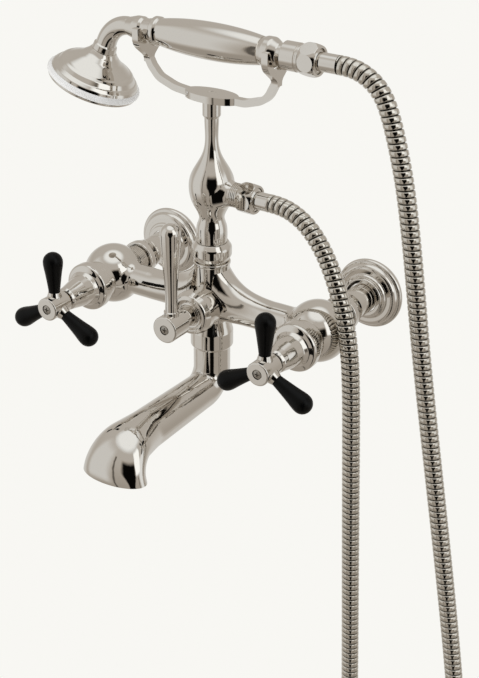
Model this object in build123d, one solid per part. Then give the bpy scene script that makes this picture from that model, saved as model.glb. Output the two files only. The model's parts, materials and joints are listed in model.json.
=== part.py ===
from build123d import *
import os
from math import cos, pi, radians, sin, tan

# An exposed bath faucet for a wall, with a hand shower on a cradle. Millimetres, +Z up. The wall is the
# plane Y = 0, the faucet stands out of it towards -Y, and the origin is midway between the two inlets.

# ---- driving dimensions ----
INLET_SPACING = 203.2  # between the inlet centres, 8 in
BODY_OUT = 90.3  # from the wall to the axes of the column, arms, riser and handset
HANDSET_Z = 218.7  # height of the handset's axis in its cradle
FLANGE_R = 30.2
INLET_BORE_R = 9.5  # minor radius of the 1/2 in female inlet thread
INLET_THREAD = 14.0
SPHERE_R = 25.3
ARM_R = 13.0
COLUMN_R = 14.8
HUB_R = 9.7
HUB_FRONT = 181.0  # the handle's front face, from the wall
LEVER_OUT = 170.0  # the plane of the three levers
GRIP_TIP = 47.1  # from the handle's axis to a grip's tip
GRIP_R = 8.2
LEVER_ANGLES = (90, 210, 330)
DIVERTER_OUT = 148.0
DIVERTER_TOP = 88.0
HOSE_R = 7.35
WATER_R = 8.0  # bore of the body's waterways
SHAFT_R = 4.0
SHAFT_GAP = 0.05  # running clearance round a spindle
SPOUT_Z = -77.5  # height of the spout's level stretch
SPOUT_R = 15.4
SPOUT_WALL = 2.6
SPOUT_SECTIONS = 36
MOUTH_OUT = 227.6  # the mouth's centre from the wall
MOUTH_Z = -99.2
MOUTH_R = (29.5, 14.5)  # the mouth's half width and half depth
SOCKET_R = 14.3  # of the socket under the column, round the spout's tail
SOCKET_TOP = -28.0
SKIRT_END = -40.6  # the column's lower end
OUTLET_Z = 98.0  # height of the riser's outlet for the hose
CRADLE_Z = 175.3  # middle of the cradle's bar over the riser
CRADLE_THICK = 5.6
CRADLE_WIDTH = 6.4
CUP_LEFT = -59.4  # middle of each cradle cup along X
CUP_RIGHT = 59.0
CUP_GAP = 0.5  # round the handset in each cup
LEFT_NECK_R = 9.4  # the handset's radius in the left cup
BULGE_R = 12.0  # and of the ball in the right cup
ROSE_TILT = 20.3  # the rose's axis leans this far from straight down, away from the handle
ROSE_SWING = 6.0  # and this far out from the wall
ROSE_X = -94.1  # where the rose's axis meets the handset's axis
NECK = 19.4  # from there along the rose's axis to the end of the pipe
HANDSET_BORE_R = 4.6

VALVE_X = INLET_SPACING / 2
SIDES = {"left": -1, "right": 1}


# ---- making and placing ----
def turned(*points):
    """A solid turned about Z, from the (radius, height, corner rounding) points round its section."""
    corners = [(p[0], 0, p[1]) for p in points]
    radii = [p[2] if len(p) > 2 else 0 for p in points]
    return revolve(make_face(FilletPolyline(*corners, radius=radii, close=True)), Axis.Z)


def vase(*curve):
    """A solid turned about Z, with one smooth side through (radius, height) points and flat ends."""
    side = Spline(*[(r, 0, h) for r, h in curve])
    ends = Polyline(side @ 1, (0, 0, curve[-1][1]), (0, 0, curve[0][1]), side @ 0)
    return revolve(make_face([side, ends]), Axis.Z)


def ball_end(radius, tip):
    """The quarter circle that closes a round bar along Z with a ball end."""
    middle = radius * cos(pi / 4), 0, tip - radius + radius * sin(pi / 4)
    return ThreePointArc((radius, 0, tip - radius), middle, (0, 0, tip))


def rod(radius, low, high):
    """A round bar along Z between two heights."""
    return Pos(0, 0, (low + high) / 2) * Cylinder(radius, high - low)


def tube(radius, bore, low, high):
    """A pipe along Z between two heights."""
    return turned((bore, low), (radius, low), (radius, high), (bore, high))


def grooved(radius, depth, low, high, count):
    """A rod along Z with evenly spaced square grooves, for a turned thread."""
    pitch = (high - low) / count
    grooves = [
        tube(radius + 1, radius - depth, low + i * pitch, low + (i + 0.45) * pitch) for i in range(count)
    ]
    return rod(radius, low, high) - grooves


def hex_nut(corner_r, low, high, bore):
    """A hexagonal nut along Z, turned to a ball between its ends so that its flats are discs."""
    prism = Pos(0, 0, low) * extrude(RegularPolygon(corner_r, 6), high - low)
    ball = Pos(0, 0, (low + high) / 2) * Sphere(corner_r)
    return (prism & ball) - rod(bore, low - 1, high + 1)


def from_wall(x):
    """Local +Z points out of the wall at height 0, and local heights are distances from the wall."""
    return Pos(x, 0, 0) * Rot(90, 0, 0)


def along_x(z):
    """Local +Z points along +X on the line above the body at height z."""
    return Pos(0, -BODY_OUT, z) * Rot(0, 90, 0)


COLUMN = Pos(0, -BODY_OUT, 0)  # local Z is the column's axis


def screw(face):
    """A round-headed screw with a cross recess, whose head lies just inside a face at that height."""
    head = turned((0, face - 1.9), (3.8, face - 1.9), (3.8, face - 0.3, 0.8), (0, face + 0.1))
    recess = [Rot(0, 0, a) * Pos(0, 0, face - 0.6) * Box(4.2, 0.9, 1.6) for a in (0, 90)]
    return head + rod(2.0, face - 16, face - 1.9) - recess


# ---- wall side ----
def escutcheon():
    """The pressed wall flange, a hollow shell with a rolled rim, a dome and a turned collar."""
    outside = (
        (26.9, 0),
        (28.3, 0),
        (FLANGE_R, 3.4, 2.5),
        (FLANGE_R, 7.0, 2.6),
        (27.4, 7.4, 0.5),
        (26.2, 11.8, 4.2),
        (19.4, 11.8, 1.4),
        (18.4, 13.6, 0.5),
        (17.0, 13.8, 0.4),
        (16.8, 16.8, 1.3),
        (12.9, 16.8, 0.5),
    )
    inside = (12.9, 12.4), (16.8, 12.2, 0.6), (17.6, 10.0, 0.6), (24.6, 10.0, 3.0), (26.0, 5.0, 1), (26.9, 3.0)
    return turned(*outside, *inside)


def nipple():
    """The connector that screws on the supply pipe; its flange is what the union nut pulls."""
    outside = ((INLET_BORE_R, 0), (11.2, 0), (11.2, 50), (12.7, 50), (12.7, 52.4), (WATER_R, 52.4))
    return turned(*outside, (WATER_R, INLET_THREAD), (INLET_BORE_R, INLET_THREAD))


def sleeve():
    """The polished sleeve over the connector, from inside the flange to the union nut."""
    return turned((11.25, 1), (12.3, 1), (12.3, 40, 0.5), (11.25, 40))


def union_nut():
    """The round union nut, with a rolled front lip and a thread for the body's neck."""
    outside = (
        (11.4, 40.2),
        (12.9, 40.2, 0.6),
        (13.6, 44, 2),
        (14.4, 46.5, 1),
        (15.5, 50.5, 3),
        (15.5, 56.2, 1.4),
        (13.9, 56.2, 0.3),
    )
    return turned(*outside, (13.9, 55.2), (13.2, 55.2), (13.2, 50), (11.4, 50))


# ---- body ----
def arm():
    """One arm of the casting: round at the valve, and rising and widening into the column."""
    # distance along X, top, underside, half width
    sections = (
        (10, 38, -16, 15.4),
        (17, 28, -14.8, 14.9),
        (25, 21, -13.8, 14.2),
        (36, 16, -13.1, 13.4),
        (50, 13.4, -13, 13),
        (62, ARM_R, -ARM_R, ARM_R),
    )
    outlines = []
    for x, top, low, half in sections:
        place = Plane((x, -BODY_OUT, (top + low) / 2), x_dir=(0, 1, 0), z_dir=(1, 0, 0))
        outlines.append(place * Ellipse(half, (top - low) / 2))
    return loft(outlines) + along_x(0) * rod(ARM_R, 62, VALVE_X)


def main_body():
    """The one-piece casting: two valve balls, two arms and the column, with its waterways."""
    ball_edge_x = VALVE_X - (SPHERE_R**2 - ARM_R**2) ** 0.5
    right = arm() + Pos(VALVE_X, -BODY_OUT, 0) * Sphere(SPHERE_R)
    right = fillet([e for e in right.edges() if abs(e.center().X - ball_edge_x) < 0.5], 9)
    neck = (15.4, 34.5, 1), (15.4, 37, 0.8), (12, 37), (12, 46), (0, 46)
    skirt = (16.2, -20, 2), (17.8, -25.5, 3), (17.8, -38.5, 1.6), (16.2, SKIRT_END, 0.4)
    body = COLUMN * turned((0, -12), (14, -12), *skirt, (0, SKIRT_END))
    body += COLUMN * turned((0, -20), (COLUMN_R, -20), (COLUMN_R, 34), *neck)
    body += right + mirror(right, Plane.YZ)
    body += from_wall(0) * turned((0, 95), (17.2, 95), (17.2, 114, 0.5), (0, 114))
    for x in (-VALVE_X, VALVE_X):
        body += from_wall(x) * (rod(16.6, 104, 116) + rod(12.6, 60, 72) + grooved(13.1, 0.6, 54, 66, 7))
        body -= from_wall(x) * (rod(WATER_R, 53, 72) + rod(5, 70, 82) + rod(9.5, 80, 117))
    body -= from_wall(0) * rod(9.6, 76, 115)
    body -= along_x(0) * (rod(WATER_R, -VALVE_X, VALVE_X))
    return body - COLUMN * (rod(WATER_R, SOCKET_TOP - 1, 47) + rod(SOCKET_R, SKIRT_END - 1, SOCKET_TOP))


# ---- valves and handles ----
def bonnet():
    """The trim cover over a valve stem: a rounded disc and a cone."""
    outside = (
        (16.7, 116),
        (18.6, 116, 0.8),
        (18.6, 119.4, 0.3),
        (20.3, 120.6, 1.5),
        (20.3, 128.4, 3.2),
        (15.2, 130.2, 2.2),
        (13.0, 133.5, 3),
        (12.1, 141, 6),
        (10.3, 150.5, 3),
        (9.6, 155, 2),
        (8.2, 157.2, 0.8),
        (6.2, 157.2),
    )
    return turned(*outside, (6.2, 136), (10, 136), (10, 116.1))


def cartridge():
    """The fixed quarter-turn valve cartridge, with ports at its sides and a long stem guide."""
    bore = SHAFT_R + SHAFT_GAP
    outside = ((7.6, 82), (9.4, 82), (9.4, 122), (8.4, 122), (8.4, 134), (6, 134), (6, 150), (bore, 150))
    body = turned(*outside, (bore, 91), (7.6, 91))
    return body - Pos(0, 0, 87) * Rot(0, 90, 0) * Cylinder(2.6, 30)


def disc_with_ports(low, high):
    """A ceramic valve disc with two opposite ports."""
    return rod(7.2, low, high) - [Pos(x, 0, (low + high) / 2) * Cylinder(1.9, 9) for x in (-4, 4)]


def hub():
    """The handle's hub with three flared stems, each ending in a stud inside its grip."""
    body = turned((0, 159.6), (7.8, 159.6), (HUB_R, 160.6), (HUB_R, HUB_FRONT, 1.2), (0, HUB_FRONT))
    stem = turned((0, 4), (6.6, 4), (6.2, 8.4, 2), (4.9, 12.4), (2.5, 12.4), (2.5, 30, 1), (0, 30))
    for angle in LEVER_ANGLES:
        body += lever_place(angle) * stem
    return body - rod(SHAFT_R, 159, 172) - rod(2.0, 165, HUB_FRONT) - rod(4.2, HUB_FRONT - 2.2, HUB_FRONT + 1)


def lever_place(angle):
    """Local +Z runs out along the lever at that angle round the handle's axis."""
    return Pos(0, 0, LEVER_OUT) * Rot(0, 0, angle) * Rot(0, 90, 0)


def grip():
    """A tapered round grip with a ball end, bored for its stud."""
    ball = GRIP_TIP - GRIP_R
    profile = [(4.7, 12.5), (5.9, 22), (7.3, 31.5), (GRIP_R, ball)]
    side = Spline(*[(r, 0, h) for r, h in profile], tangents=((0.1, 0, 1), (0, 0, 1)))
    end = ball_end(GRIP_R, GRIP_TIP)
    rest = Polyline(end @ 1, (0, 0, 30), (2.5, 0, 30), (2.5, 0, 12.5), side @ 0)
    return revolve(make_face([side, end, rest]), Axis.Z)


def spindle():
    """The stem that the handle turns, with a foot that drives the turning disc."""
    foot = turned((0, 87.4), (6.8, 87.4), (6.8, 90.6), (SHAFT_R, 90.6), (SHAFT_R, 172), (0, 172))
    groove = tube(SHAFT_R + 1, SHAFT_R - 0.9, 140, 142.4)
    return foot - groove - rod(2.0, 165, 173)


# ---- diverter ----
def diverter_bonnet():
    """The round boss in front of the column, dished about the diverter's stem."""
    outside = (
        (9.7, 114),
        (18.5, 114),
        (18.5, 119, 2),
        (16.6, 124.6, 3),
        (13.4, 126, 1),
        (10.2, 122, 2),
        (8.4, 124, 1),
        (7.8, 137, 0.5),
    )
    bore = SHAFT_R + SHAFT_GAP
    return turned(*outside, (bore, 137), (bore, 122), (9.7, 122))


def diverter_sleeve():
    """The fixed liner that the diverter's rotor turns in, ported to the riser and the spout."""
    liner = tube(9.5, 7.6 + SHAFT_GAP, 78, 121)
    return liner - Pos(0, 0, 90.3) * Rot(90, 0, 0) * Cylinder(4, 30)


def diverter_rotor():
    """The turning plug of the diverter, with a passage across it and its stem."""
    body = turned((0, 79), (7.6, 79), (7.6, 112), (SHAFT_R, 112), (SHAFT_R, 150), (0, 150))
    passage = Pos(0, 0, 90.3) * Rot(90, 0, 0) * Cylinder(3.6, 30)
    return body - passage - rod(2.0, 141, 151)


def diverter_hub():
    """The plain hub of the diverter's lever."""
    front = DIVERTER_OUT + 10.3
    body = turned((0, 138), (8.6, 138), (11.2, 139.2), (11.2, front, 1.2), (0, front))
    up = Pos(0, 0, DIVERTER_OUT) * Rot(-90, 0, 0)
    body += up * rod(6.2, 0, 11.6)
    socket = up * rod(3, 6, 12)
    return body - socket - rod(SHAFT_R, 137, 150) - rod(2.0, 141, front) - rod(4.2, front - 2.2, front + 1)


def diverter_lever():
    """The polished lever, screwed into the hub and thickest near its rounded top."""
    tip = 8.4
    ball = DIVERTER_TOP - tip
    profile = (5.1, 0, 13.5), (4.9, 0, 22), (6.3, 0, 48), (tip, 0, ball)
    side = Spline(*profile, tangents=((0, 0, 1), (0.02, 0, 1)))
    end = ball_end(tip, DIVERTER_TOP)
    foot = Polyline(end @ 1, (0, 0, 6.1), (3, 0, 6.1), (3, 0, 11.7), (6.2, 0, 11.7), (6.2, 0, 12.9), side @ 0)
    return revolve(make_face([side, end, foot]), Axis.Z)


# ---- column, riser and cradle ----
def collar_nut():
    """The rounded coupling nut that holds the riser on the column."""
    outside = ((12, 38), (14.2, 38, 0.4), (16.4, 42.5, 3), (16.4, 49.5, 4), (13.6, 53.6, 0.8), (10.6, 53.6))
    return turned(*outside, (10.6, 50.2), (12, 50.2))


def riser():
    """The vase-shaped riser with its slim neck and the side outlet for the hose."""
    body = COLUMN * vase(
        (12.5, 53.8),
        (12.7, 62),
        (12.0, 68),
        (10.3, 74),
        (12.2, 80.5),
        (16.4, 89),
        (18.4, 98.5),
        (17.4, 109),
        (12.8, 118.5),
        (8.1, 127),
        (5.7, 135.5),
        (5.3, 144),
        (5.8, 158),
    )
    body += COLUMN * turned((0, 46.6), (11.8, 46.6), (11.8, 50), (10.4, 50), (10.4, 54), (0, 54))
    outlet = turned((0, 4), (17.5, 4), (15.8, 10, 6), (10.2, 18.5, 7), (9.9, 22), (0, 22))
    outlet += grooved(9.9, 0.7, 21.9, 28, 4) + rod(9.6, 27.8, 38.3)
    body += along_x(OUTLET_Z) * outlet
    body += COLUMN * rod(3.6, 157, 178)
    body -= COLUMN * rod(5.5, 46, OUTLET_Z)
    return body - along_x(OUTLET_Z) * rod(5.0, 0, 39)


def cradle_ferrule():
    """The small turned cap between the riser's neck and the cradle's pad."""
    top = CRADLE_Z - CRADLE_THICK / 2
    return turned((3.7, 158), (5.9, 158, 0.3), (7.3, 160.2, 1.2), (7.3, top), (3.7, top))


def cup(radius):
    """A cradle cup's plate seen along X: a half ring with two horns, on a stem that narrows downwards."""
    outer, top, stem, foot = 18.3, 4.6, CRADLE_WIDTH / 2, 25.0
    side = (outer, top), (outer, -8.5), (stem, -20.5), (stem, -foot)
    outline = FilletPolyline(
        *[(-x, z) for x, z in side], *reversed(side), radius=[1.0, 12, 6, 0, 0, 6, 12, 1.0], close=True
    )
    mouth = Polygon((-radius, -2), (radius, -2), (15.2, 6), (-15.2, 6), align=None)
    return Plane.YZ * extrude(make_face(outline) - Circle(radius) - mouth, CRADLE_THICK / 2, both=True)


def cradle():
    """The cradle: a bent bar with a wide pad on the riser and a cup at each end."""
    left, right, top = CUP_LEFT, CUP_RIGHT, HANDSET_Z - 22.0
    places = (
        (left, top),
        (left + 3.4, 190.5),
        (-49, 182.6),
        (-34, 177),
        (-20, CRADLE_Z),
        (32, CRADLE_Z),
        (right - 8, 181),
        (right, top),
    )
    route = FilletPolyline(*[(x, -BODY_OUT, z) for x, z in places], radius=[11, 14, 30, 40, 22, 18])
    section = Plane(route @ 0, x_dir=(0, 1, 0), z_dir=route % 0) * Rectangle(CRADLE_WIDTH, CRADLE_THICK)
    body = sweep(section, path=route)
    pad = Ellipse(24, 11.5)
    body += COLUMN * Pos(0, 0, CRADLE_Z - CRADLE_THICK / 2) * extrude(pad, CRADLE_THICK)
    body += Pos(left, -BODY_OUT, HANDSET_Z) * cup(LEFT_NECK_R + CUP_GAP)
    body += Pos(right, -BODY_OUT, HANDSET_Z) * cup(BULGE_R + CUP_GAP)
    return body - COLUMN * rod(3.6, 170, 180)


# ---- spout ----
def spout_shape(wall):
    """The spout's outer shape less a wall thickness: an elbow, a level run and a wide flared mouth."""
    places = (BODY_OUT, SOCKET_TOP - 0.5), (BODY_OUT, SPOUT_Z), (MOUTH_OUT, SPOUT_Z), (MOUTH_OUT, MOUTH_Z)
    route = FilletPolyline(*[(0, -out, z) for out, z in places], radius=[18, 20])
    length = sum(e.length for e in route.edges())
    swell, flare = 2.0, 55.0  # growth of the radius before the flare, and the flare's length
    sections = []
    for i in range(SPOUT_SECTIONS + 1):
        t = i / SPOUT_SECTIONS
        to_mouth = length * (1 - t)
        radius = SPOUT_R + swell * min(1, max(0, (130 - to_mouth) / 94))
        widening = max(0, 1 - to_mouth / flare)
        half_width = radius + (MOUTH_R[0] - radius) * widening**1.15
        half_depth = radius + (MOUTH_R[1] - radius) * widening
        place = Plane(route @ t, x_dir=(1, 0, 0), z_dir=route % t)
        sections.append(place * Ellipse(half_width - wall, half_depth - wall))
    return loft(sections)


def spout():
    """The cast spout, hollow from the column to its mouth, with a shouldered tail in the column."""
    shoulder = COLUMN * tube(SPOUT_R + 1, SOCKET_R - 0.1, SKIRT_END, SOCKET_TOP)
    return spout_shape(0) - spout_shape(SPOUT_WALL) - shoulder


# ---- hose ends ----
def hose_nut(low):
    """The swivel nut at an end of the hose."""
    return hex_nut(13.3, low, low + 13.8, 9.7)


# ---- handset ----
# local +Z runs down the rose's axis from the handset's axis
ROSE = Pos(ROSE_X, -BODY_OUT, HANDSET_Z) * Rot(-ROSE_SWING, 0, 0) * Rot(0, 180 + ROSE_TILT, 0)


def handset_pipe():
    """The bent pipe from the rose to the handle, whose tail runs through the handle as its waterway."""
    start = Vector(-66, -BODY_OUT, HANDSET_Z)
    neck = (ROSE * Pos(0, 0, NECK)).position
    route = FilletPolyline(start, (ROSE_X, -BODY_OUT, HANDSET_Z), neck, radius=22)
    places = Plane(route @ 0, z_dir=route % 0), Plane(route @ 1, z_dir=route % 1)
    ends = [place * Circle(r) for place, r in zip(places, (6.9, 8.3))]
    pipe = sweep(ends, path=route, multisection=True)
    pipe += ROSE * turned((0, 18), (8.0, 18), (9.5, NECK, 0.6), (10.1, 24, 0.6), (0, 24))
    socket = (0, -79), (7.0, -79), (9.5, -70, 8), (9.5, -64.5, 1.5), (8.3, -62.5, 0.8)
    neck = (8.6, -60.8, 0.4), (8.6, -58), (6, -58), (6, 70), (0, 70)
    pipe += along_x(HANDSET_Z) * turned(*socket, *neck)
    inner = sweep(places[0] * Circle(HANDSET_BORE_R), path=route)
    tail_bore = along_x(HANDSET_Z) * rod(HANDSET_BORE_R, -67, 71)
    return pipe - inner - tail_bore - ROSE * rod(HANDSET_BORE_R, NECK - 1, 25)


def rose_bell():
    """The rose's bell-shaped shell, open below."""
    outside = (
        (9.6, 24),
        (10.6, 24.4),
        (12.6, 27.2, 8),
        (17.4, 31.9, 14),
        (26.4, 37.6, 7),
        (28.4, 38.4, 0.6),
        (30.2, 39.8, 2.2),
        (32.4, 43.2, 1.0),
        (33.4, 43.6, 0.6),
        (35.4, 45.6, 1.8),
        (36.3, 47.7),
    )
    inside = (34.4, 47.7), (32.0, 45.0, 2), (27.0, 40.4, 3), (19.5, 36.6, 8), (11, 29, 5)
    return ROSE * turned(*outside, *inside, (HANDSET_BORE_R, 27), (HANDSET_BORE_R, 24))


def rose_ring():
    """The white ring round the rose's rim."""
    side = (36.5, 47.7, 0.6), (38.9, 50.0, 2.0), (38.7, 52.9, 1.4)
    return ROSE * turned((33.4, 47.7), *side, (33.4, 52.9))


def spray_plate():
    """The spray face: a shallow plate with rings of holes and a rolled edge."""
    rim = (33.3, 53.1), (37.5, 53.1, 0.4), (37.1, 55.4, 1.2), (30, 56.2, 2)
    plate = turned((0, 51.6), (33.3, 51.6), *rim, (0, 57))
    holes = [
        Pos(ring * cos(2 * pi * i / count), ring * sin(2 * pi * i / count), 54) * Cylinder(0.8, 8)
        for ring, count in ((7, 6), (13, 12), (19, 18), (25, 24))
        for i in range(count)
    ]
    return ROSE * (plate - holes)


def front_collar():
    """The bead in front of the handle."""
    bead = (9.0, -54.6, 0.4), (11.6, -53.0, 1.5), (11.6, -48.8, 2)
    return turned((6, -58), (9.0, -58), *bead, (10.3, -47), (6, -47))


def barrel():
    """The handle's barrel, thickest in the middle, round the pipe's tail."""
    body = vase((10.6, -47), (13.2, -28), (14.5, -2), (13.6, 24), (10.9, 46))
    return body - rod(6, -48, 47)


def rear_collar():
    """The ball, neck and threaded connector behind the handle."""
    ball = (6, 46), (10.4, 46), (BULGE_R, 50.5, 3), (BULGE_R, 56, 4), (8.5, 61.5, 2.5), (8.5, 65.2, 1)
    connector = (11.1, 66.4, 0.6), (11.1, 78.4), (10.5, 78.7), (10.5, 79.6), (10.9, 80), (10.9, 81.8, 0.4)
    thread = ((9.6, 81.9), (9.6, 91), (5, 91), (5, 70.2), (6, 70.2))
    return turned(*ball, *connector, *thread)


# ---- hose ----
# From the riser's outlet down, round under and up to the handset.
HOSE_ROUTE = [
    (54.5, -90.3, 98),
    (62.5, -90.3, 98),
    (74, -90.4, 95.7),
    (87.3, -91.1, 89.3),
    (100, -92.4, 77.9),
    (111.6, -94.2, 62.2),
    (121.7, -96.6, 43.2),
    (130.3, -98.8, 20.5),
    (136.7, -100.4, -6.8),
    (139.8, -100.9, -42.7),
    (141.4, -100.2, -88.7),
    (142.6, -98.6, -141),
    (144.2, -96.9, -205),
    (146.6, -95.4, -284),
    (149.2, -94.2, -370),
    (150.1, -93.6, -428),
    (150.3, -93.3, -468),
    (170.5, -92.8, -494.8),
    (202.5, -92.2, -504.6),
    (234.4, -91.8, -494.2),
    (254.1, -91.5, -467.1),
    (254.3, -91.4, -428),
    (252.6, -91.2, -372),
    (246.6, -91, -306),
    (237.2, -90.8, -246),
    (225.2, -90.6, -176),
    (213.7, -90.5, -112),
    (203.2, -90.4, -54),
    (193.7, -90.3, 0),
    (186.3, -90.2, 48),
    (180.1, -90.1, 87),
    (174.9, -90.1, 117),
    (170.2, -90.1, 140),
    (165.1, -90.2, 159.5),
    (160.3, -90.2, 175.5),
    (155.8, -90.3, 188.5),
    (150.8, -90.3, 199.6),
    (144.2, -90.3, 207.8),
    (135.9, -90.3, 213.8),
    (126.6, -90.3, 217.5),
    (117.2, -90.3, 218.7),
    (112.5, -90.3, 218.7),
]


def hose():
    """The plain outer form of the flexible hose, along its hanging route."""
    points = [Vector(*p) for p in HOSE_ROUTE]
    runs = [b - a for a, b in zip(points, points[1:])]
    radii = []
    for before, after in zip(runs, runs[1:]):
        turn = radians(before.get_angle(after))
        radii.append(0.45 * min(before.length, after.length) / tan(turn / 2))
    route = FilletPolyline(*points, radius=radii)
    pipe = sweep(Plane(route @ 0, z_dir=route % 0) * Circle(HOSE_R), path=route)
    length = sum(e.length for e in route.edges())
    print("hose radii", [round(r) for r in radii])
    print("hose length", round(length, 1), "volume ratio", round(pipe.volume / (pi * HOSE_R**2 * length), 4))
    return pipe


# ---- all nodes ----
def write(name, shape):
    """Writes one node's STEP file."""
    export_step(shape, f"parts/{name}.step")


def write_side(side, x):
    """Writes the inlet, valve and handle of one side."""
    at = from_wall(x)
    write(f"escutcheon_{side}", at * escutcheon())
    write(f"inlet_nipple_{side}", at * nipple())
    write(f"inlet_sleeve_{side}", at * sleeve())
    write(f"union_nut_{side}", at * union_nut())
    write(f"union_washer_{side}", at * tube(12.6, WATER_R, 52.4, 54))
    write(f"bonnet_{side}", at * bonnet())
    write(f"cartridge_{side}", at * cartridge())
    write(f"fixed_disc_{side}", at * disc_with_ports(82, 84.6))
    write(f"turning_disc_{side}", at * disc_with_ports(84.7, 87.4))
    write(f"spindle_{side}", at * spindle())
    write(f"handle_hub_{side}", at * hub())
    write(f"handle_screw_{side}", at * screw(HUB_FRONT))
    for number, angle in enumerate(LEVER_ANGLES, 1):
        write(f"grip_{side}_{number}", at * lever_place(angle) * grip())


def write_diverter():
    """Writes the diverter in front of the column."""
    at = from_wall(0)
    write("diverter_bonnet", at * diverter_bonnet())
    write("diverter_sleeve", at * diverter_sleeve())
    write("diverter_rotor", at * diverter_rotor())
    write("diverter_hub", at * diverter_hub())
    write("diverter_screw", at * screw(DIVERTER_OUT + 10.3))
    write("diverter_lever", Pos(0, -DIVERTER_OUT, 0) * diverter_lever())


def write_column():
    """Writes the body, the riser with its cradle and the spout."""
    write("main_body", main_body())
    write("collar_nut", COLUMN * collar_nut())
    write("riser_washer", COLUMN * tube(11.8, 6, 46, 46.6))
    write("riser", riser())
    write("cradle_ferrule", COLUMN * cradle_ferrule())
    write("cradle", cradle())
    write("spout", spout())


def hose_ferrule(low, end):
    """The ferrule crimped on the hose, with the flange that the swivel nut pulls."""
    return turned((5, low), (9.4, low), (9.4, low + 2), (7.2, low + 3.2), (7.2, end), (5, end))


def write_hose():
    """Writes the hose with the fittings at both of its ends."""
    at = along_x(OUTLET_Z)
    write("hose_washer_riser", at * tube(9.4, 4.6, 38.3, 39.8))
    write("hose_nut_riser", at * hose_nut(28.8))
    write("hose_ferrule_riser", at * hose_ferrule(39.8, 54.5))
    write("hose", hose())
    at = along_x(HANDSET_Z)
    write("hose_washer_handset", at * tube(9.4, 5, 91, 92.6))
    write("hose_nut_handset", at * hose_nut(82.2))
    write("hose_ferrule_handset", at * hose_ferrule(92.6, 112))


def write_handset():
    """Writes the hand shower."""
    write("handset_pipe", handset_pipe())
    write("rose_bell", rose_bell())
    write("rose_ring", rose_ring())
    write("spray_plate", spray_plate())
    at = along_x(HANDSET_Z)
    write("front_collar", at * front_collar())
    write("handle_barrel", at * barrel())
    write("rear_collar", at * rear_collar())


os.makedirs("parts", exist_ok=True)
for side, sign in SIDES.items():
    write_side(side, sign * VALVE_X)
write_diverter()
write_column()
write_hose()
write_handset()
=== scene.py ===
import json
from math import cos, pi, sin

import bpy
import numpy as np
from mathutils import Matrix, Vector


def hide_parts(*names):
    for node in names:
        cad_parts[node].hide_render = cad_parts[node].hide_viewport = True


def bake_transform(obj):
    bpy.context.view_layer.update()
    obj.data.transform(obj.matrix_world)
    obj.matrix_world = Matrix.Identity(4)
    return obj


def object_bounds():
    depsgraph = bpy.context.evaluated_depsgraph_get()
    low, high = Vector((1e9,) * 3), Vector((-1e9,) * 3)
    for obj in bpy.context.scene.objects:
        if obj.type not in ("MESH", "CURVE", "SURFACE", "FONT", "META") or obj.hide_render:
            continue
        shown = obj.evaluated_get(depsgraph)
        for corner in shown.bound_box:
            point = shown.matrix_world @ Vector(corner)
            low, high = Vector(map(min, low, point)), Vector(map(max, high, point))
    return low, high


# A wall mounted bath faucet in polished nickel with black grips, in a plain light studio.
# Metres, +Z up, the wall is the plane Y = 0 and the faucet stands out of it towards -Y.

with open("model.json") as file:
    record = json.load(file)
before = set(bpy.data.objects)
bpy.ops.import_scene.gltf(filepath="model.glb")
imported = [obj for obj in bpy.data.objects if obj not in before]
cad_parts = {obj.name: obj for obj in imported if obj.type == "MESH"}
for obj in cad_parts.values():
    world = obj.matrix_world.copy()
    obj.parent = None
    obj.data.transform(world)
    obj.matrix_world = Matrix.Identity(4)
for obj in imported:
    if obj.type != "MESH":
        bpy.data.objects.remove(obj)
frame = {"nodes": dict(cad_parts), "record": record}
cad_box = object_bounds()

FLOOR_DROP = 0.05  # from the lowest point of the faucet to the floor
FLOOR_SIZE = 40.0

# ---- camera ----
CAMERA_PLACE = (0.64104, -1.04386, 0.53981)
CAMERA_AZIMUTH = 32.76  # degrees to the right of straight in front
CAMERA_ELEVATION = 26.61
CAMERA_ROLL = 0.446
CAMERA_LENS = 81.33
SENSOR = 36.0


def make_camera():
    """The camera at the photograph's viewing angle."""
    a, e, r = (v * pi / 180 for v in (CAMERA_AZIMUTH, CAMERA_ELEVATION, CAMERA_ROLL))
    right = Vector((cos(a), sin(a), 0))
    up = Vector((-sin(a) * sin(e), cos(a) * sin(e), cos(e)))
    back = Vector((sin(a) * cos(e), -cos(a) * cos(e), sin(e)))
    axes = (cos(r) * right + sin(r) * up, cos(r) * up - sin(r) * right, back)
    data = bpy.data.cameras.new("camera")
    data.lens = CAMERA_LENS
    data.sensor_width = SENSOR
    camera = bpy.data.objects.new("camera", data)
    camera.matrix_world = Matrix.Translation(CAMERA_PLACE) @ Matrix(axes).transposed().to_4x4()
    bpy.context.scene.collection.objects.link(camera)
    bpy.context.scene.camera = camera


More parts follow.
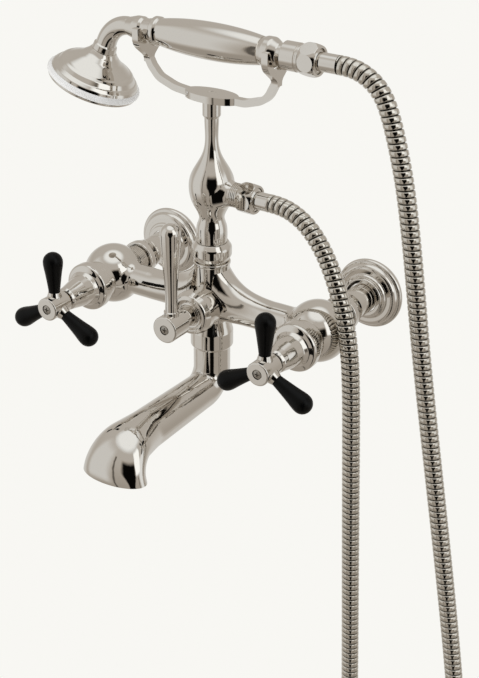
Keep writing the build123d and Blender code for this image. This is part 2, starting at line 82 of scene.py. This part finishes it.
# ---- nodes ----
class Nodes:
    """A node tree with short ways to add and join nodes."""

    def __init__(self, tree):
        tree.nodes.clear()
        self.tree = tree

    def add(self, kind, settings=None, **inputs):
        """Adds a node. Its inputs, by name or as i and a number, are values or other nodes' outputs."""
        node = self.tree.nodes.new(kind)
        for name, value in (settings or {}).items():
            setattr(node, name, value)
        for name, value in inputs.items():
            key = int(name[1:]) if name[1:].isdigit() else name.replace("_", " ")
            socket = node.inputs[key]
            if isinstance(value, bpy.types.NodeSocket):
                self.tree.links.new(value, socket)
            else:
                socket.default_value = value
        return node

    def math(self, operation, a, b=0.0):
        """The output of a math node."""
        return self.add("ShaderNodeMath", {"operation": operation}, i0=a, i1=b).outputs[0]

    def step(self, value, low, high, start=0.0, end=1.0):
        """Start below low, end above high and smooth between them."""
        ramp = {"interpolation_type": "SMOOTHSTEP"}
        limits = {"From_Min": low, "From_Max": high, "To_Min": start, "To_Max": end}
        return self.add("ShaderNodeMapRange", ramp, Value=value, **limits).outputs[0]

    def band(self, value, low, high, soft):
        """1 between low and high, with soft edges."""
        rise = self.step(value, low - soft, low + soft)
        fall = self.step(value, high + soft, high - soft)
        return self.math("MULTIPLY", rise, fall)

    def blend(self, share, a, b):
        """A number between a and b."""
        return self.add("ShaderNodeMix", i0=share, i2=a, i3=b).outputs[0]

    def tint(self, share, a, b):
        """A colour between a and b."""
        return self.add("ShaderNodeMix", {"data_type": "RGBA"}, i0=share, i6=a, i7=b).outputs[2]

    def noise(self, scale, detail):
        """Noise over the surface."""
        place = self.add("ShaderNodeTexCoord").outputs["Object"]
        return self.add("ShaderNodeTexNoise", Vector=place, Scale=scale, Detail=detail).outputs["Fac"]


def start_material(name):
    """A new material and its empty node tree."""
    material = bpy.data.materials.new(name)
    material.use_nodes = True
    return material, Nodes(material.node_tree)


# ---- studio ----
BACKDROP = (0.939, 0.931, 0.896, 1)
# Each part of the tent: azimuth from and to, in radians to the right of the camera; height from and to,
# as the sine of the elevation; softness of its edges; brightness.
TENT = (
    (-4.0, -2.1, -0.8, 0.05, 0.25, 0.68),  # behind the faucet
    (2.1, 4.0, -0.8, 0.05, 0.25, 0.68),
    (-1.9, -0.98, -0.5, 0.72, 0.16, 0.73),  # left panel
    (1.0, 1.6, -0.35, 0.4, 0.1, 0.9),  # right panel
    (0.52, 1.15, 0.1, 0.8, 0.06, 1.25),  # key light, high on the right
    (-4.0, 4.0, 0.86, 2.0, 0.07, 1.0),  # top light
    (-0.86, -0.79, -1.1, 0.6, 0.025, 0.12),  # seams between the panels
    (0.76, 0.82, -1.1, 0.05, 0.025, 0.12),
)
TENT_CLOTH = (-0.9, 0.7, 0.38, 0.54)  # between the parts: height from and to, brightness from and to
OPENING_HEIGHT = (-0.88, 0.52, 0.1)  # the dark opening that the lens looks through: from, to, softness
OPENING_ACROSS = (-1.0, 1.08, 0.2)  # from and to, in its half widths, and softness
OPENING_WIDTH = (-0.42, 0.1, 0.2, 0.46)  # height from and to, half its width there in radians
OPENING_SHADE = 0.003
SHADE_TINT = (1.0, 0.90, 0.78, 1)
LIGHT_TINT = (0.97, 0.985, 0.975, 1)
TINT_LIGHT = (0.3, 0.9)  # brightness of the darkest and lightest tint


def make_world():
    """A light tent round the faucet: bright panels, darker seams, and a dark opening for the lens."""
    world = bpy.data.worlds.new("studio")
    world.use_nodes = True
    bpy.context.scene.world = world
    n = Nodes(world.node_tree)
    direction = n.add("ShaderNodeTexCoord").outputs["Generated"]
    turn = (0, 0, -CAMERA_AZIMUTH * pi / 180)
    turned = n.add("ShaderNodeMapping", {"vector_type": "POINT"}, Vector=direction, Rotation=turn)
    side, depth, height = n.add("ShaderNodeSeparateXYZ", Vector=turned.outputs[0]).outputs[:3]
    azimuth = n.math("ARCTAN2", side, n.math("MULTIPLY", depth, -1.0))
    light = n.step(height, *TENT_CLOTH)
    for left, right, low, high, soft, brightness in TENT:
        part = n.math("MULTIPLY", n.band(azimuth, left, right, soft), n.band(height, low, high, soft))
        light = n.blend(part, light, brightness)
    across = n.math("DIVIDE", azimuth, n.step(height, *OPENING_WIDTH))
    opening = n.math("MULTIPLY", n.band(across, *OPENING_ACROSS), n.band(height, *OPENING_HEIGHT))
    light = n.blend(opening, light, OPENING_SHADE)
    colour = n.tint(n.step(light, *TINT_LIGHT), SHADE_TINT, LIGHT_TINT)
    studio = n.add("ShaderNodeBackground", Color=colour, Strength=light)
    backdrop = n.add("ShaderNodeBackground", Color=BACKDROP, Strength=1.0)
    seen = n.add("ShaderNodeLightPath").outputs["Is Camera Ray"]
    mixed = n.add("ShaderNodeMixShader", i0=seen, i1=studio.outputs[0], i2=backdrop.outputs[0])
    n.add("ShaderNodeOutputWorld", Surface=mixed.outputs[0])


FILL_PLACE = (-0.7, -1.3, 0.75)
FILL_AIM = (-0.1, -0.09, 0.15)
FILL_SIZE = 1.2
FILL_WATTS = 7.0


def make_fill():
    """One large soft light from the front, which the polished metal doesn't mirror."""
    data = bpy.data.lights.new("fill", "AREA")
    data.size = FILL_SIZE
    data.energy = FILL_WATTS
    light = bpy.data.objects.new("fill", data)
    light.visible_glossy = False
    light.location = FILL_PLACE
    light.rotation_euler = (Vector(FILL_AIM) - Vector(FILL_PLACE)).to_track_quat("-Z", "Y").to_euler()
    bpy.context.scene.collection.objects.link(light)


def make_floor():
    """The plain pale floor, far under the faucet."""
    bpy.ops.mesh.primitive_plane_add(size=FLOOR_SIZE, location=(0, 0, cad_box[0].z - FLOOR_DROP))
    floor = bpy.context.object
    floor.name = "floor"
    floor.visible_glossy = False
    material, n = start_material("floor")
    shade = n.add("ShaderNodeEmission", Color=BACKDROP, Strength=1.0)
    n.add("ShaderNodeOutputMaterial", Surface=shade.outputs[0])
    material.cycles.emission_sampling = "NONE"
    floor.data.materials.append(material)


# ---- materials ----
RIPPLE = 0.0002  # height of the fine grain, in metres
CLOUD = (0.3, 0.7)  # the noise's values from which and to which the gloss varies
GROOVE_PAINTED_SHADE = 0.12  # painted shade: this share of the metal's colour, down between the turns of the hose
GROOVE_DEPTH = (0.2, 0.8)  # the shares of a groove's depth where the painted shade starts and ends


def varied(n, value, cloud, spread):
    """A value that varies by up to this spread to each side with the clouds of a noise."""
    low, high = CLOUD
    limits = {"To_Min": value * (1 - spread), "To_Max": value * (1 + spread)}
    return n.add("ShaderNodeMapRange", Value=cloud, From_Min=low, From_Max=high, **limits).outputs[0]


def darker(colour, share):
    """This share of a colour."""
    return [share * c for c in colour[:3]] + [1]


def metal(name, colour, roughness, grain, bump, paint_groove_shade=False):
    """A metal whose polish varies a little, and which may have shade painted down in its grooves."""
    material, n = start_material(name)
    gloss = varied(n, roughness, n.noise(55.0, 4.0), 0.25)
    ripple = n.add("ShaderNodeBump", Height=n.noise(grain, 2.0), Strength=bump, Distance=RIPPLE)
    # painted shade: the colour darkens with the depth of the hose's grooves
    if paint_groove_shade:
        depth = n.add("ShaderNodeAttribute", {"attribute_name": "groove"}).outputs["Fac"]
        colour = n.tint(n.step(depth, *GROOVE_DEPTH), colour, darker(colour, GROOVE_PAINTED_SHADE))
    shader = n.add(
        "ShaderNodeBsdfPrincipled",
        Base_Color=colour,
        Metallic=1.0,
        Roughness=gloss,
        Normal=ripple.outputs[0],
    )
    n.add("ShaderNodeOutputMaterial", Surface=shader.outputs[0])
    return material


def plain(name, colour, roughness, grain, bump, specular=0.5, coat=0.0):
    """A moulded or painted surface with a fine grain."""
    material, n = start_material(name)
    cloud = n.noise(40.0, 3.0)
    ripple = n.add("ShaderNodeBump", Height=n.noise(grain, 3.0), Strength=bump, Distance=RIPPLE)
    shader = n.add(
        "ShaderNodeBsdfPrincipled",
        Base_Color=n.tint(cloud, colour, darker(colour, 0.95)),
        Roughness=varied(n, roughness, cloud, 0.12),
        Normal=ripple.outputs[0],
        Specular_IOR_Level=specular,
        Coat_Weight=coat,
    )
    n.add("ShaderNodeOutputMaterial", Surface=shader.outputs[0])
    return material


def make_materials():
    """One material for each slot of the record."""
    return {
        "polished_nickel": metal("polished_nickel", (0.772, 0.743, 0.702, 1), 0.045, 900, 0.015),
        # the hose metal, with shade painted down between its turns
        "hose_metal": metal("hose_metal", (0.715, 0.683, 0.625, 1), 0.1, 1400, 0.04, True),
        "brass": metal("brass", (0.80, 0.60, 0.30, 1), 0.22, 1200, 0.12),
        "screw_steel": metal("screw_steel", (0.40, 0.375, 0.34, 1), 0.2, 1500, 0.1),
        "black_grip": plain("black_grip", (0.0012, 0.0012, 0.0013, 1), 0.32, 1800, 0.03, 0.14),
        "white_ring": plain("white_ring", (0.93, 0.935, 0.95, 1), 0.2, 700, 0.004, 0.5, 0.3),
        "washer_rubber": plain("washer_rubber", (0.02, 0.02, 0.02, 1), 0.6, 1500, 0.2),
        "valve_ceramic": plain("valve_ceramic", (0.85, 0.84, 0.80, 1), 0.3, 1200, 0.05),
    }


materials = make_materials()
slot_of = {s["node"]: s["material_slot"] for s in frame["record"]["subparts"]}


def dress_frame():
    """Gives every CAD node its slot's material."""
    for name, node in frame["nodes"].items():
        node.data.materials.clear()
        node.data.materials.append(materials[slot_of[name]])


# ---- hose ----
MM = 0.001
HOSE_D = 0.0147
HOSE_COLUMNS = 30  # of faces round it
# where the hose runs, from the faucet to the handset
HOSE_ROUTE = [  # in millimetres
    (54.5, -90.3, 98),
    (62.5, -90.3, 98),
    (74, -90.4, 95.7),
    (87.3, -91.1, 89.3),
    (100, -92.4, 77.9),
    (111.6, -94.2, 62.2),
    (121.7, -96.6, 43.2),
    (130.3, -98.8, 20.5),
    (136.7, -100.4, -6.8),
    (139.8, -100.9, -42.7),
    (141.4, -100.2, -88.7),
    (142.6, -98.6, -141),
    (144.2, -96.9, -205),
    (146.6, -95.4, -284),
    (149.2, -94.2, -370),
    (150.1, -93.6, -428),
    (150.3, -93.3, -468),
    (170.5, -92.8, -494.8),
    (202.5, -92.2, -504.6),
    (234.4, -91.8, -494.2),
    (254.1, -91.5, -467.1),
    (254.3, -91.4, -428),
    (252.6, -91.2, -372),
    (246.6, -91, -306),
    (237.2, -90.8, -246),
    (225.2, -90.6, -176),
    (213.7, -90.5, -112),
    (203.2, -90.4, -54),
    (193.7, -90.3, 0),
    (186.3, -90.2, 48),
    (180.1, -90.1, 87),
    (174.9, -90.1, 117),
    (170.2, -90.1, 140),
    (165.1, -90.2, 159.5),
    (160.3, -90.2, 175.5),
    (155.8, -90.3, 188.5),
    (150.8, -90.3, 199.6),
    (144.2, -90.3, 207.8),
    (135.9, -90.3, 213.8),
    (126.6, -90.3, 217.5),
    (117.2, -90.3, 218.7),
    (112.5, -90.3, 218.7),
]


def smooth_line(points):
    """The points along a smooth curve with these control points, as an array."""
    curve = bpy.data.curves.new("route", "CURVE")
    curve.dimensions = "3D"
    spline = curve.splines.new("NURBS")
    spline.points.add(len(points) - 1)
    for control, point in zip(spline.points, points):
        control.co = (*point, 1)
    spline.order_u = 3
    spline.use_endpoint_u = True
    spline.resolution_u = 24
    holder = bpy.data.objects.new("route", curve)
    mesh = bpy.data.meshes.new_from_object(holder)
    line = np.array([tuple(v.co) for v in mesh.vertices])
    bpy.data.objects.remove(holder)
    bpy.data.meshes.remove(mesh)
    return line


def frames_along(line):
    """Lengths, directions and two steady cross directions at each point of a line."""
    steps = np.linalg.norm(np.diff(line, axis=0), axis=1)
    lengths = np.concatenate([[0], np.cumsum(steps)])
    along = np.gradient(line, axis=0)
    along /= np.linalg.norm(along, axis=1, keepdims=True)
    across = [np.array([0.0, 1.0, 0.0])]
    for direction in along[1:]:
        previous = across[-1] - direction * (across[-1] @ direction)
        across.append(previous / np.linalg.norm(previous))
    across = np.array(across)
    return lengths, along, across, np.cross(along, across)


HOSE_PITCH = 0.0051
HOSE_DEPTH = 0.0014  # of the groove
# along one turn of the spiral: share of the pitch, and share of the groove's depth below the crown
HOSE_WAVE = (
    (0.0, 1.0),
    (0.04, 0.72),
    (0.08, 0.34),
    (0.13, 0.13),
    (0.2, 0.035),
    (0.45, 0.0),
    (0.7, 0.035),
    (0.79, 0.14),
    (0.86, 0.36),
    (0.92, 0.76),
    (0.96, 1.0),
)
SHARP_ANGLE = 60 * pi / 180


def hose_mesh(line):
    """The hose's mesh along this line, one column after the other round it."""
    lengths, *frames = frames_along(line)
    turns = int(lengths[-1] / HOSE_PITCH) + 2
    stations = np.array([(t + share) * HOSE_PITCH for t in range(turns) for share, _ in HOSE_WAVE])
    drops = np.array([drop for _ in range(turns) for _, drop in HOSE_WAVE])
    radius = (HOSE_D / 2 - drops * HOSE_DEPTH)[:, None]
    rows = len(stations)
    vertices = []
    faces = []
    for j in range(HOSE_COLUMNS):
        s = np.clip(stations - HOSE_PITCH * j / HOSE_COLUMNS, 0, lengths[-1])
        centre, across, other = (
            np.stack([np.interp(s, lengths, values[:, k]) for k in range(3)], 1)
            for values in (line, *frames[1:])
        )
        a = 2 * pi * j / HOSE_COLUMNS
        vertices.append(centre + radius * (cos(a) * across + sin(a) * other))
        # the last column joins the first one a turn further on
        last = j == HOSE_COLUMNS - 1
        here = j * rows
        there = len(HOSE_WAVE) if last else here + rows
        count = rows - 1 - (len(HOSE_WAVE) if last else 0)
        faces += [(here + i, here + i + 1, there + i + 1, there + i) for i in range(count)]
    mesh = bpy.data.meshes.new("flexible_hose")
    mesh.from_pydata([tuple(v) for v in np.concatenate(vertices)], [], faces)
    mesh.polygons.foreach_set("use_smooth", [True] * len(mesh.polygons))
    mesh.set_sharp_from_angle(angle=SHARP_ANGLE)
    # the groove's depth at each point, from which the hose metal paints shade into the grooves
    groove = mesh.attributes.new("groove", "FLOAT", "POINT")
    groove.data.foreach_set("value", np.tile(drops, HOSE_COLUMNS))
    return mesh


def make_hose():
    """The flexible metal hose: a spiral of rounded strip with a narrow groove between its turns."""
    line = smooth_line([tuple(MM * c for c in p) for p in HOSE_ROUTE])
    hose = bpy.data.objects.new("flexible_hose", hose_mesh(line))
    hose.data.materials.append(materials["hose_metal"])
    bpy.context.scene.collection.objects.link(hose)
    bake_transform(hose)
    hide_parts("hose")


make_camera()
make_world()
make_fill()
make_floor()
dress_frame()
make_hose()
bpy.context.scene.view_settings.view_transform = "Standard"
